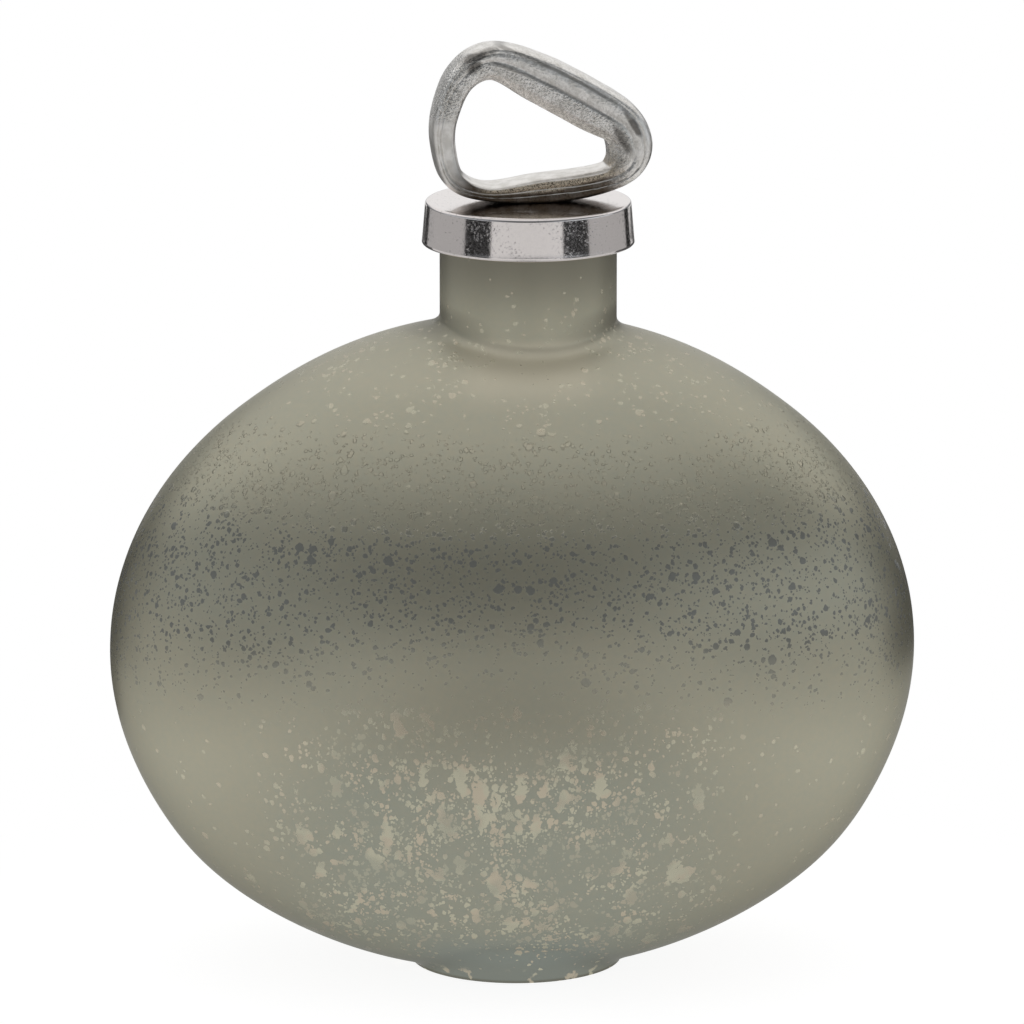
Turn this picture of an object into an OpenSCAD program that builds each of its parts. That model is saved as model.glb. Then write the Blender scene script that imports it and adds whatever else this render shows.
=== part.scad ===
// Flattened oval glass bottle with a cast metal lid and a free-form ring handle.
// The bottle stands on its foot at z = 0, with +Z up and its broad face towards -Y.
// All sizes are in millimetres.

/* [Glass body] */
// Width of the oval body, side to side
body_w = 250; // [220:1:290]
// Depth of the oval body, front to back
body_d = 157; // [130:1:190]
// Height of the whole oval, before the table cuts its underside
body_h = 206; // [180:1:240]
// How far the hand-blown oval tips up at its right end, in degrees
body_lean = 1.7; // [0:0.1:4]
// Thickness of the glass wall
glass_wall = 4; // [3:0.1:6]
// Thickness of the glass floor
floor_t = 7; // [5:0.1:12]

/* [Glass foot] */
// Diameter of the round foot
foot_d = 65; // [52:0.5:80]
// How far the table cuts into the underside of the oval
foot_sink = 3.3; // [1:0.1:4]
// Rounding of the foot's lower edge
foot_round = 1.5; // [0.5:0.1:2.5]
// How far the foot stands to the right of the oval's middle
foot_offset = 1.3; // [0:0.1:3]
// Width of the ground ring that the foot stands on
foot_ring_w = 6; // [4:0.1:10]
// Depth of the dish inside that ring
dish_depth = 2; // [1:0.1:3.5]

/* [Glass neck] */
// Outside diameter of the neck
neck_d = 54.6; // [50:0.1:64]
// Thickness of the neck's wall
neck_wall = 4; // [3:0.1:6]
// Height of the rim above the top of the oval
neck_rise = 32.6; // [26:0.1:45]
// How far the neck stands to the right of the oval's middle
neck_offset = 5; // [2:0.1:8]
// Rounding of the fire-polished rim
rim_round = 1.2; // [0.4:0.1:1.4]

/* [Lid] */
// Height of the lid, from its skirt's edge to its top
lid_h = 13.2; // [10:0.1:18]
// Thickness of the lid's top plate
lid_plate = 4.5; // [3:0.1:6]
// Wall of the lid's skirt at its lower edge
skirt_wall = 4.75; // [2.5:0.05:6]
// Gap between the skirt and the neck
skirt_gap = 0.75; // [0.4:0.05:2]
// How much narrower the lid's radius is at the top than at the skirt's edge
lid_draft = 1; // [0:0.1:2]
// Rounding of the lid's upper edge
lid_round = 1; // [0.4:0.1:1.8]
// Thickness of the flat gasket on the rim
gasket_t = 1; // [0.5:0.1:2]

/* [Plug and seals] */
// Length of the plug below the lid's plate
plug_len = 18; // [16:0.5:24]
// Gap between the plug and the neck's bore
plug_gap = 0.8; // [0.5:0.05:1.2]
// Thickness of the plug's wall under its grooves
plug_wall = 2.2; // [1.6:0.1:3.5]
// Thickness of the plug's top web
plug_web = 4; // [3:0.1:6]
// Number of stiffening ribs inside the plug
plug_ribs = 6; // [4:1:8]
// Thickness of a rib
rib_t = 1.8; // [1.2:0.1:3]
// Diameter of a seal ring's round section
seal_section = 2.6; // [2:0.1:3]
// Gap between a seal ring and the neck's bore
seal_gap = 0.2; // [0.1:0.05:0.4]
// Play of a seal ring in its groove
seal_play = 0.1; // [0.05:0.01:0.2]
// Height of the lower seal ring above the plug's end
seal_low = 3.5; // [2.5:0.1:4]
// Distance between the two seal rings
seal_pitch = 6; // [5:0.1:7]

/* [Handle] */
// Width of the ring that its outline below is a share of
handle_w = 60; // [48:0.5:72]
// Height of the ring above the lid that its outline below is a share of
handle_h = 45; // [36:0.5:54]
// Thickness of the ring's wire where it is thickest, seen from the front
handle_t = 15.6; // [12:0.1:18]
// Size of the ring handle across its wire, front to back
handle_depth = 15; // [11:0.1:20]
// Depth of the flutes that run round the ring
flute_depth = 0.45; // [0:0.01:0.8]
// Turn of the ring about the lid's axis, in degrees
handle_turn = 9; // [-20:1:20]
// Diameter of the pad that the ring stands on
pad_d = 10.5; // [9:0.5:16]

/* [Screw] */
// Diameter of the handle screw
screw_d = 5; // [4:0.1:5]
// How deep the screw reaches into the handle
screw_grip = 5.2; // [4.5:0.1:6]
// Diameter of the screw's head
head_d = 9; // [8:0.1:10]
// Height of the screw's head
head_h = 3; // [2:0.1:4]
// Diameter of the washer
washer_d = 14; // [12:0.1:16]
// Thickness of the washer
washer_t = 1.2; // [0.8:0.1:2]
// Clearance round the screw in the lid, plug and washer
screw_clear = 0.3; // [0.1:0.05:0.5]

/* [Hidden] */
$fn = 120;

// Turns of the balls that the two ovals are drawn from, which only move where their seams run
outer_seam = [0, 0, 180];
inner_seam = [0, 0, 150];
// Small overlap that lets a cut run past a face
cut = 1;
// Play that keeps pieces of one assembly just clear of each other
fit_play = 0.05;

// Heights in the bottle
body_mid = body_h / 2 - foot_sink;
body_top = body_mid + body_h / 2;
rim_z = body_top + neck_rise;
// The foot's wall has to end inside the oval, and is highest at the front
foot_r = foot_d / 2;
foot_edge_z = body_mid - body_h / 2 * sqrt(1 - pow(foot_r / (body_d / 2), 2));
foot_top = foot_edge_z + glass_wall / 2;

// The hollow leaves one wall at the sides and top, and a thicker floor
hollow_top = body_top - glass_wall;
hollow_mid = (hollow_top + floor_t) / 2;
hollow_h = hollow_top - floor_t;
bore_r = neck_d / 2 - neck_wall;
// Radius of the ball that dishes the underside
dish_r = foot_r - foot_round - foot_ring_w;
dish_ball_r = (pow(dish_r, 2) + pow(dish_depth, 2)) / (2 * dish_depth);

// Lid
plate_z = rim_z + gasket_t;
lid_top = plate_z + lid_plate;
skirt_z = lid_top - lid_h;
skirt_in_r = neck_d / 2 + skirt_gap;
lid_r = skirt_in_r + skirt_wall;
lid_top_r = lid_r - lid_draft;

// Plug and seals
plug_r = bore_r - plug_gap;
plug_z = plate_z - plug_len;
seal_mid_r = bore_r - seal_gap - seal_section / 2;
groove_r = seal_mid_r - seal_section / 2 - seal_play;
groove_w = seal_section + 2 * seal_play;
lower_seal_z = plug_z + seal_low;
upper_seal_z = lower_seal_z + seal_pitch;
gasket_in_r = plug_r + fit_play;
gasket_out_r = neck_d / 2 + skirt_gap / 2;
plug_in_r = groove_r - plug_wall;

// Screw
screw_hole_r = screw_d / 2 + screw_clear;
web_z = plate_z - plug_web;
head_z = web_z - washer_t - head_h;
hub_r = washer_d / 2 + screw_clear;
hub_wall = 2;
recess_w = screw_d / 5;
recess_l = head_d * 0.55;
recess_depth = head_h * 0.6;

// Ring handle: points along the middle of its wire, seen from the front.
// Each has its distance right of the lid's axis as a share of the ring's width, its height above
// the lid as a share of the ring's height, and the wire's thickness as a share of the thickest.
HANDLE = [
    [0.050, 0.080, 0.551], [-0.220, 0.071, 0.346], [-0.382, 0.162, 0.436], [-0.437, 0.349, 0.462],
    [-0.438, 0.589, 0.500], [-0.350, 0.867, 0.590], [-0.183, 0.971, 0.744], [0.063, 0.836, 0.974],
    [0.328, 0.640, 1.000], [0.470, 0.524, 0.910], [0.533, 0.382, 0.821], [0.517, 0.249, 0.654],
    [0.425, 0.158, 0.538], [0.268, 0.107, 0.551]
];
handle_steps = 8;
handle_sides = 40;
handle_flutes = 10;
// Power that squares off the wire's oval section
section_square = 0.5;

// Oval with the body's lean, from its width, depth and height
module oval(w, d, h, seam) {
    rotate([0, -body_lean, 0])
        scale([w / 2, d / 2, h / 2])
            rotate(seam)
                sphere(r = 1);
}

// Round disc with a rounded lower edge
module rounded_foot() {
    rotate_extrude() {
        translate([0, foot_round]) square([foot_r, foot_top - foot_round]);
        square([foot_r - foot_round, foot_top]);
        translate([foot_r - foot_round, foot_round]) circle(r = foot_round);
    }
}

// Solid post of the neck, from the middle of the oval up to the fire-polished rim's outer edge
module neck_post() {
    rotate_extrude() {
        translate([0, body_mid]) square([neck_d / 2, rim_z - rim_round - body_mid]);
        translate([0, body_mid]) square([neck_d / 2 - rim_round, rim_z - body_mid]);
        translate([neck_d / 2 - rim_round, rim_z - rim_round]) circle(r = rim_round);
    }
}

// Bore of the neck, which opens out round the fire-polished rim's inner edge
module neck_bore() {
    rotate_extrude() {
        translate([0, body_mid]) square([bore_r, rim_z - body_mid + cut]);
        difference() {
            translate([0, rim_z - rim_round]) square([bore_r + rim_round, rim_round + cut]);
            translate([bore_r + rim_round, rim_z - rim_round]) circle(r = rim_round);
        }
    }
}

// Outside of the bottle as one solid, cut flat by the table
module bottle_outside() {
    difference() {
        union() {
            translate([0, 0, body_mid]) oval(body_w, body_d, body_h, outer_seam);
            translate([foot_offset, 0, 0]) rounded_foot();
            translate([neck_offset, 0, 0]) neck_post();
        }
        translate([-body_w, -body_w, -body_h])
            cube([2 * body_w, 2 * body_w, body_h]);
    }
}

// Inside of the bottle: the hollow oval with the neck's bore
module bottle_inside() {
    translate([0, 0, hollow_mid])
        oval(body_w - 2 * glass_wall, body_d - 2 * glass_wall, hollow_h, inner_seam);
    translate([neck_offset, 0, 0]) neck_bore();
}

// Blown glass bottle: oval body, round foot and neck, all one piece of glass
module bottle() {
    color([0.55, 0.56, 0.50])
        difference() {
            bottle_outside();
            bottle_inside();
            translate([foot_offset, 0, dish_depth - dish_ball_r])
                sphere(r = dish_ball_r);
        }
}

// Cast lid: a plate with a skirt that drops over the rim
module lid_cap() {
    color([0.78, 0.76, 0.74])
        translate([neck_offset, 0, 0])
            difference() {
                rotate_extrude() lid_outline();
                translate([0, 0, skirt_z - cut])
                    cylinder(r = skirt_in_r, h = plate_z - skirt_z + cut);
                translate([0, 0, plate_z - cut])
                    cylinder(r = screw_hole_r, h = lid_plate + 2 * cut);
            }
}

// Half section of the lid's outside, with its draft and its rounded upper edge
module lid_outline() {
    polygon([
        [0, skirt_z], [lid_r, skirt_z], [lid_top_r, lid_top - lid_round],
        [lid_top_r - lid_round, lid_top - lid_round], [lid_top_r - lid_round, lid_top], [0, lid_top]
    ]);
    intersection() {
        translate([lid_top_r - lid_round, lid_top - lid_round]) circle(r = lid_round);
        translate([lid_top_r - lid_round, lid_top - lid_round]) square(lid_round);
    }
}

// Flat soft ring between the glass rim and the lid's plate
module rim_gasket() {
    color([0.86, 0.86, 0.83])
        translate([neck_offset, 0, rim_z])
            difference() {
                cylinder(r = gasket_out_r, h = gasket_t);
                translate([0, 0, -cut]) cylinder(r = gasket_in_r, h = gasket_t + 2 * cut);
            }
}

// Groove that one seal ring sits in
module seal_groove(z) {
    translate([0, 0, z - groove_w / 2])
        difference() {
            cylinder(r = bore_r, h = groove_w);
            translate([0, 0, -cut]) cylinder(r = groove_r, h = groove_w + 2 * cut);
        }
}

// Moulded plug with a top web, a hub for the screw, ribs and two seal grooves
module neck_plug() {
    color([0.90, 0.89, 0.86])
        translate([neck_offset, 0, 0])
            difference() {
                union() {
                    difference() {
                        translate([0, 0, plug_z]) cylinder(r = plug_r, h = plug_len);
                        translate([0, 0, plug_z - cut])
                            cylinder(r = plug_in_r, h = plug_len - plug_web + cut);
                    }
                    translate([0, 0, head_z])
                        cylinder(r = hub_r + hub_wall, h = web_z - head_z);
                    for (i = [0 : plug_ribs - 1])
                        rotate([0, 0, i * 360 / plug_ribs])
                            translate([hub_r + hub_wall / 2, -rib_t / 2, head_z])
                                cube([plug_in_r - hub_r, rib_t, web_z - head_z]);
                }
                seal_groove(lower_seal_z);
                seal_groove(upper_seal_z);
                translate([0, 0, head_z - cut])
                    cylinder(r = hub_r, h = web_z - head_z + cut);
                translate([0, 0, web_z - cut])
                    cylinder(r = screw_hole_r, h = plug_web + 2 * cut);
            }
}

// Soft round ring that grips the neck's bore
module seal_ring(z) {
    color([0.80, 0.80, 0.78])
        translate([neck_offset, 0, z])
            rotate_extrude()
                translate([seal_mid_r, 0]) circle(d = seal_section);
}

// Washer under the plug's web
module screw_washer() {
    color([0.70, 0.70, 0.72])
        translate([neck_offset, 0, web_z - washer_t])
            difference() {
                cylinder(d = washer_d, h = washer_t);
                translate([0, 0, -cut]) cylinder(r = screw_hole_r, h = washer_t + 2 * cut);
            }
}

// Screw that clamps washer, plug, lid and handle together, with a cross recess in its head
module handle_screw() {
    color([0.66, 0.66, 0.68])
        translate([neck_offset, 0, head_z])
            difference() {
                union() {
                    cylinder(d = head_d, h = head_h);
                    cylinder(d = screw_d, h = lid_top + screw_grip - head_z);
                }
                for (turn = [0, 90])
                    rotate([0, 0, turn])
                        translate([-recess_l / 2, -recess_w / 2, -cut])
                            cube([recess_l, recess_w, recess_depth + cut]);
            }
}

// One of the handle's points in millimetres
function handle_knot(i) =
    let (share = HANDLE[i % len(HANDLE)])
    [share[0] * handle_w, share[1] * handle_h, share[2] * handle_t];

// Point on a closed smooth curve through the handle's points, at span i and share t
function handle_point(i, t) =
    let (
        n = len(HANDLE),
        a = handle_knot(i + n - 1),
        b = handle_knot(i),
        c = handle_knot(i + 1),
        d = handle_knot(i + 2)
    )
    b + 0.5 * t * ((c - a) + t * ((2 * a - 5 * b + 4 * c - d) + t * (3 * (b - c) + d - a)));

// The same at a step of the whole loop
function handle_at(s) = handle_point(floor(s / handle_steps), (s % handle_steps) / handle_steps);

// Power that keeps the sign of its base
function signed_pow(v, p) = sign(v) * pow(abs(v), p);

// One ring of points round the wire at a step of the loop
function handle_ring(s, total) =
    let (
        here = handle_at(s),
        step = handle_at((s + 1) % total) - handle_at((s + total - 1) % total),
        long = norm([step[0], step[1]]),
        side = [step[1], -step[0]] / long
    )
    [
        for (k = [0 : handle_sides - 1])
            let (
                turn = 360 * k / handle_sides,
                wave = flute_depth * (cos(handle_flutes * turn) - 1) / 2,
                across = signed_pow(cos(turn), section_square) * (here[2] / 2 + wave),
                deep = signed_pow(sin(turn), section_square) * (handle_depth / 2 + wave)
            )
            [here[0] + side[0] * across, deep, here[1] + side[1] * across]
    ];

// Swept wire of the ring handle
module handle_wire() {
    total = len(HANDLE) * handle_steps;
    points = [for (s = [0 : total - 1]) each handle_ring(s, total)];
    faces = [
        for (s = [0 : total - 1], k = [0 : handle_sides - 1])
            let (
                p = s * handle_sides + k,
                q = s * handle_sides + (k + 1) % handle_sides,
                r = ((s + 1) % total) * handle_sides + (k + 1) % handle_sides,
                u = ((s + 1) % total) * handle_sides + k
            )
            each [[p, r, q], [p, u, r]]
    ];
    polyhedron(points, faces);
}

// Cast ring handle, ground flat where it stands on the lid, with a small pad and a blind screw hole
module ring_handle() {
    color([0.74, 0.72, 0.70])
        translate([neck_offset, 0, lid_top])
            rotate([0, 0, handle_turn])
                difference() {
                    union() {
                        handle_wire();
                        cylinder(d = pad_d, h = HANDLE[0][1] * handle_h);
                    }
                    translate([-handle_w, -handle_depth, -handle_h])
                        cube([2 * handle_w, 2 * handle_depth, handle_h]);
                    translate([0, 0, -cut])
                        cylinder(r = screw_d / 2 + fit_play, h = screw_grip + fit_play + cut);
                }
}

bottle();
lid_cap();
rim_gasket();
neck_plug();
seal_ring(upper_seal_z);  // upper_seal_ring
seal_ring(lower_seal_z);  // lower_seal_ring
ring_handle();
handle_screw();
screw_washer();
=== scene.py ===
"""Looks for a lidded oval glass bottle with a cast ring handle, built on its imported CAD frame.

Lengths are in millimetres, in the CAD's frame: x to the right, y away from the camera, z up.
"""

import math
from types import SimpleNamespace

import bmesh
import bpy
import numpy as np
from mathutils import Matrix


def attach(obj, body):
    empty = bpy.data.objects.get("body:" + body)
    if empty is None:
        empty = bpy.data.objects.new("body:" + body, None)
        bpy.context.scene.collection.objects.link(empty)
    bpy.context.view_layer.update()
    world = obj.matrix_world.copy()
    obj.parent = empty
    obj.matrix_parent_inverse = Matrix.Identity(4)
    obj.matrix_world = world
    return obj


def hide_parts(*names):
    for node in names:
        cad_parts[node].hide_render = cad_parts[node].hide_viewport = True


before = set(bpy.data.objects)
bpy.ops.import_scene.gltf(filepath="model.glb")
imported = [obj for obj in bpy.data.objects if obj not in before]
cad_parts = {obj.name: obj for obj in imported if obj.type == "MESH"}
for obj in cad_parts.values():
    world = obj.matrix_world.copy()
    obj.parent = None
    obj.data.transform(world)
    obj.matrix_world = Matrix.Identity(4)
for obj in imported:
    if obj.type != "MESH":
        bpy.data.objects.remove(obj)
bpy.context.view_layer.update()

MM = 0.001
WHITE = (1, 1, 1, 1)


# -------- mesh helpers

def make_object(name, verts, faces, sharp=None):
    """A mesh object from points in millimetres, smooth but for edges sharper than sharp degrees."""
    mesh = bpy.data.meshes.new(name)
    mesh.from_pydata([tuple(np.array(v) * MM) for v in verts], [], faces)
    bm = bmesh.new()
    bm.from_mesh(mesh)
    bmesh.ops.remove_doubles(bm, verts=bm.verts, dist=1e-7)
    bmesh.ops.recalc_face_normals(bm, faces=bm.faces)
    bm.to_mesh(mesh)
    bm.free()
    mesh.polygons.foreach_set("use_smooth", [True] * len(mesh.polygons))
    if sharp is not None:
        mesh.set_sharp_from_angle(angle=math.radians(sharp))
    mesh.update()
    obj = bpy.data.objects.new(name, mesh)
    bpy.context.scene.collection.objects.link(obj)
    return obj


def grid_faces(rows, cols, wrap_rows=False):
    """Quads of a grid of points that closes on itself across its columns."""
    faces = []
    for i in range(rows if wrap_rows else rows - 1):
        a, b = i * cols, ((i + 1) % rows) * cols
        for j in range(cols):
            k = (j + 1) % cols
            faces.append((a + j, a + k, b + k, b + j))
    return faces


def full_turn(steps):
    """Angles evenly round a circle."""
    return np.arange(steps) * 2 * math.pi / steps


def revolve(name, profile, cx, cols, sharp):
    """A closed solid of revolution from a closed loop of (radius, height) points."""
    verts = []
    for r, z in profile:
        verts += [(cx + r * math.cos(t), r * math.sin(t), z) for t in full_turn(cols)]
    return make_object(name, verts, grid_faces(len(profile), cols, True), sharp)


def arc(cx, cz, r, a0, a1, steps):
    """Points of a round edge in a (radius, height) profile, angles in degrees."""
    return [
        (cx + r * math.cos(math.radians(a)), cz + r * math.sin(math.radians(a)))
        for a in np.linspace(a0, a1, steps)
    ]


def rounded(a, corner, b, steps):
    """A smooth bend from a to b that a corner pulls on."""
    a, corner, b = np.array(a), np.array(corner), np.array(b)
    return [(1 - t) ** 2 * a + 2 * t * (1 - t) * corner + t * t * b for t in np.linspace(0, 1, steps)]


# -------- bottle

# Foot: middle, radius, round of its edge, width of its ground ring and depth of the dish inside it
FOOT_X, FOOT_R, FOOT_ROUND, FOOT_RING, DISH = 1.3, 33.2, 0.6, 6.0, 2.0
# Neck, which carries the lid: middle, radius, radius of its bore, height and round of its rim
NECK_X, NECK_R, BORE_R, RIM_Z, RIM_ROUND = 5.0, 27.3, 23.3, 235.3, 1.2
# Outer and inner oval: half width, half depth, half height, and height of the middle
BODY, BODY_MID = (124.97, 78.48, 103.0), 99.7
HOLLOW, HOLLOW_MID = (121.0, 74.5, 95.85), 102.85
BODY_LEAN = math.radians(1.7)
# How far the underside of the oval stays off the table
FOOT_LIFT = 1.0
# Fullness of the blown skin: swell of the shoulder, between two heights, and how much wider than an
# oval the body is low down, and where, as shares of its half height
SWELL, SWELL_FROM, SWELL_TO = 1.8, 175.0, 202.0
FULL, FULL_AT, FULL_REACH = 0.017, -0.68, 0.19
# Lengths of the bends: up the neck, along the shoulder, up the bore, and at the foot: at most, as a
# share of its wall, and how many times longer on the body
NECK_BEND, SHOULDER_BEND, BORE_BEND = 3.0, 5.0, 4.0
FOOT_BEND, FOOT_BEND_SHARE, FOOT_BEND_BODY = 6.5, 0.9, 2.6
# Where straight stretches start: above the hollow, under the rim and outside the dish
BORE_START, RIM_GAP, DISH_GAP = 6.0, 1.0, 0.8
# Height that the foot's wall is drawn to, and steps of wall and edge
FOOT_WALL_TOP, FOOT_WALL_STEPS, FOOT_EDGE_STEPS = 12.0, 120, 60
# Meridians of the mesh, and points along each stretch of one
BOTTLE_COLS = 288
HOLLOW_STEPS, BORE_BEND_STEPS, BORE_STEPS, NECK_STEPS, BODY_STEPS = 64, 5, 8, 14, 170
BEND_STEPS, FOOT_STEPS, DISH_STEPS, SKIN_STEPS = 13, 14, 14, 400
# Radius at which the meridians end: inside, on a unit ball, and in the dish
BALL_POLE, DISH_POLE = 1e-4, 1e-3


def tipped(p, angle):
    """Points turned about the oval's middle, which tips its right end up."""
    c, s = math.cos(angle), math.sin(angle)
    return np.stack((c * p[..., 0] - s * p[..., 2], p[..., 1], s * p[..., 0] + c * p[..., 2]), -1)


class Oval:
    """One of the bottle's two ovals, with points given by directions on a unit ball."""

    def __init__(self, half, mid):
        self.half, self.mid = np.array(half), np.array((0, 0, mid))

    def point(self, q):
        return self.mid + tipped(self.half * q, BODY_LEAN)

    def ball(self, p):
        return tipped(np.asarray(p, float) - self.mid, -BODY_LEAN) / self.half

    def leave(self, p, upper):
        """The point where an upright line through p leaves the oval, at its upper or lower side."""
        x, y = p[:2]
        start = self.ball((x, y, 0.0))
        step = self.ball((x, y, 1.0)) - start
        a, b, c = step @ step, 2 * start @ step, start @ start - 1
        root = math.sqrt(max(0.0, b * b - 4 * a * c))
        return np.array((x, y, (-b + root if upper else -b - root) / (2 * a)))

    def path(self, p0, p1, steps):
        """Points on the oval from p0 to p1, evenly along its meridian."""
        q0, q1 = self.ball(p0), self.ball(p1)
        t0, t1 = math.acos(np.clip(q0[2], -1, 1)), math.acos(np.clip(q1[2], -1, 1))
        f0, f1 = math.atan2(q0[1], q0[0]), math.atan2(q1[1], q1[0])
        f1 += 2 * math.pi * round((f0 - f1) / (2 * math.pi))
        t, f = np.linspace(t0, t1, steps), np.linspace(f0, f1, steps)
        return self.point(np.stack((np.sin(t) * np.cos(f), np.sin(t) * np.sin(f), np.cos(t)), -1))


def lifted(p):
    """Points of the oval, with its underside eased off the table."""
    z = p[..., 2]
    return np.stack((p[..., 0], p[..., 1], 0.5 * (z + np.sqrt(z * z + 4 * FOOT_LIFT ** 2))), -1)


def swollen(oval, p):
    """Points of the outer oval with the fullness of blown glass."""
    share = oval.ball(p)[..., 2]
    wide = 1 + FULL * np.exp(-((share - FULL_AT) / FULL_REACH) ** 2)
    t = np.clip((p[..., 2] - SWELL_FROM) / (SWELL_TO - SWELL_FROM), 0, 1)
    rise = SWELL * t * t * (3 - 2 * t)
    return np.stack((p[..., 0] * wide, p[..., 1] * wide, p[..., 2] + rise), -1)


def spoke(cx, f):
    """Gives points by radius and height in the half plane at angle f about an axis at cx."""
    c, s = math.cos(f), math.sin(f)
    return lambda r, z: np.array((cx + r * c, r * s, z))


def inside_points(f, on_neck, inner):
    """From the middle of the hollow's floor up its wall, round the bend and up the bore."""
    pole = np.array((BALL_POLE * math.cos(f), BALL_POLE * math.sin(f), -1.0))
    top = inner.leave(on_neck(BORE_R, 0.0), True)
    hollow = inner.path(inner.point(pole / np.linalg.norm(pole)), top, HOLLOW_STEPS)
    bend = rounded(hollow[-2], top, on_neck(BORE_R, top[2] + BORE_BEND), BORE_BEND_STEPS)
    bore = np.linspace(top[2] + BORE_START, RIM_Z - RIM_ROUND, BORE_STEPS)
    return list(hollow[:-1]) + bend[1:] + [on_neck(BORE_R, z) for z in bore]


def rim_points(on_neck):
    """Over the rounded rim, from the bore to the outside."""
    profile = arc(BORE_R + RIM_ROUND, RIM_Z - RIM_ROUND, RIM_ROUND, 165, 90, 6)
    profile += arc(NECK_R - RIM_ROUND, RIM_Z - RIM_ROUND, RIM_ROUND, 90, 0, 7)
    return [on_neck(r, z) for r, z in profile]


def foot_edge():
    """The foot's outline from the ground up, as (radius, height)."""
    edge = arc(FOOT_R - FOOT_ROUND, FOOT_ROUND, FOOT_ROUND, -90, 0, FOOT_EDGE_STEPS)
    return edge + [(FOOT_R, z) for z in np.linspace(FOOT_ROUND, FOOT_WALL_TOP, FOOT_WALL_STEPS)[1:]]


def edge_length(edge, first, last):
    """Length of the foot's outline between two of its points."""
    return sum(math.dist(edge[i], edge[i + 1]) for i in range(first, last))


def foot_meets_body(on_foot, edge, outer):
    """The first point of the foot's outline above the body's skin, and the oval's point there."""
    for k, (r, z) in enumerate(edge):
        low = outer.leave(on_foot(r, 0), False)
        if z >= lifted(low)[2]:
            break
    return k, low


def foot_points(on_foot, edge, start):
    """Down the foot's edge, and under it across the ground ring and the dish."""
    dish_r = FOOT_R - FOOT_ROUND - FOOT_RING
    ball_r = (dish_r ** 2 + DISH ** 2) / (2 * DISH)
    profile = [edge[int(round(i))] for i in np.linspace(start, 0, FOOT_STEPS)[1:]]
    profile.append((dish_r + DISH_GAP, 0.0))
    for r in np.linspace(dish_r, DISH_POLE, DISH_STEPS):
        profile.append((r, math.sqrt(ball_r ** 2 - r * r) - (ball_r - DISH)))
    return [on_foot(r, z) for r, z in profile]


def bottle_column(f, outer, inner):
    """Points down one meridian of the bottle, from inside the floor over the rim to under the foot."""
    on_neck, on_foot, edge = spoke(NECK_X, f), spoke(FOOT_X, f), foot_edge()
    meet, low = foot_meets_body(on_foot, edge, outer)
    corner = outer.leave(on_neck(NECK_R, 0.0), True)
    skin = lifted(swollen(outer, outer.path(corner, low, SKIN_STEPS)))
    run = np.concatenate(([0], np.cumsum(np.linalg.norm(np.diff(skin, axis=0), axis=1))))
    # Where the bends at the shoulder and the foot start and end
    foot_bend = min(FOOT_BEND, FOOT_BEND_SHARE * edge_length(edge, 0, meet))
    first = int(np.searchsorted(run, SHOULDER_BEND))
    last = int(np.searchsorted(run, run[-1] - FOOT_BEND_BODY * foot_bend))
    start = meet
    while start > 0 and edge_length(edge, start, meet) < foot_bend:
        start -= 1
    neck_end = on_neck(NECK_R, skin[0][2] + NECK_BEND)
    picks = np.linspace(run[first], run[last], BODY_STEPS)[1:]
    # The stretches in order
    points = inside_points(f, on_neck, inner) + rim_points(on_neck)
    neck = np.linspace(RIM_Z - RIM_ROUND - RIM_GAP, neck_end[2], NECK_STEPS)
    points += [on_neck(NECK_R, z) for z in neck]
    points += rounded(neck_end, skin[0], skin[first], BEND_STEPS)[1:]
    points += list(np.stack([np.interp(picks, run, skin[:, i]) for i in range(3)], -1))
    points += rounded(skin[last], skin[-1], on_foot(*edge[start]), BEND_STEPS)[1:]
    return points + foot_points(on_foot, edge, start)


def make_bottle():
    outer, inner = Oval(BODY, BODY_MID), Oval(HOLLOW, HOLLOW_MID)
    columns = [bottle_column(f, outer, inner) for f in full_turn(BOTTLE_COLS)]
    count = len(columns[0])
    assert all(len(column) == count for column in columns)
    verts = [column[i] for i in range(count) for column in columns]
    faces = grid_faces(count, BOTTLE_COLS)
    faces.append(tuple(range(BOTTLE_COLS - 1, -1, -1)))
    faces.append(tuple((count - 1) * BOTTLE_COLS + j for j in range(BOTTLE_COLS)))
    return make_object("glass_bottle", verts, faces, 40)


# -------- lid

# Heights of the top, the plate's underside and the skirt's lower edge
LID_TOP, PLATE_Z, SKIRT_Z = 240.8, 236.3, 227.6
# Radii at the lower edge, at the top, inside the skirt and of the screw's hole
LID_R, LID_TOP_R, SKIRT_IN_R, SCREW_HOLE_R = 32.8, 31.8, 28.05, 2.8
# Rounds of the top edge, of the lower edge outside and inside, and of the screw hole's edge
LID_ROUND, SKIRT_ROUND, SKIRT_IN_ROUND, HOLE_ROUND = 1.0, 0.6, 0.5, 0.3
LID_COLS = 192


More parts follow.
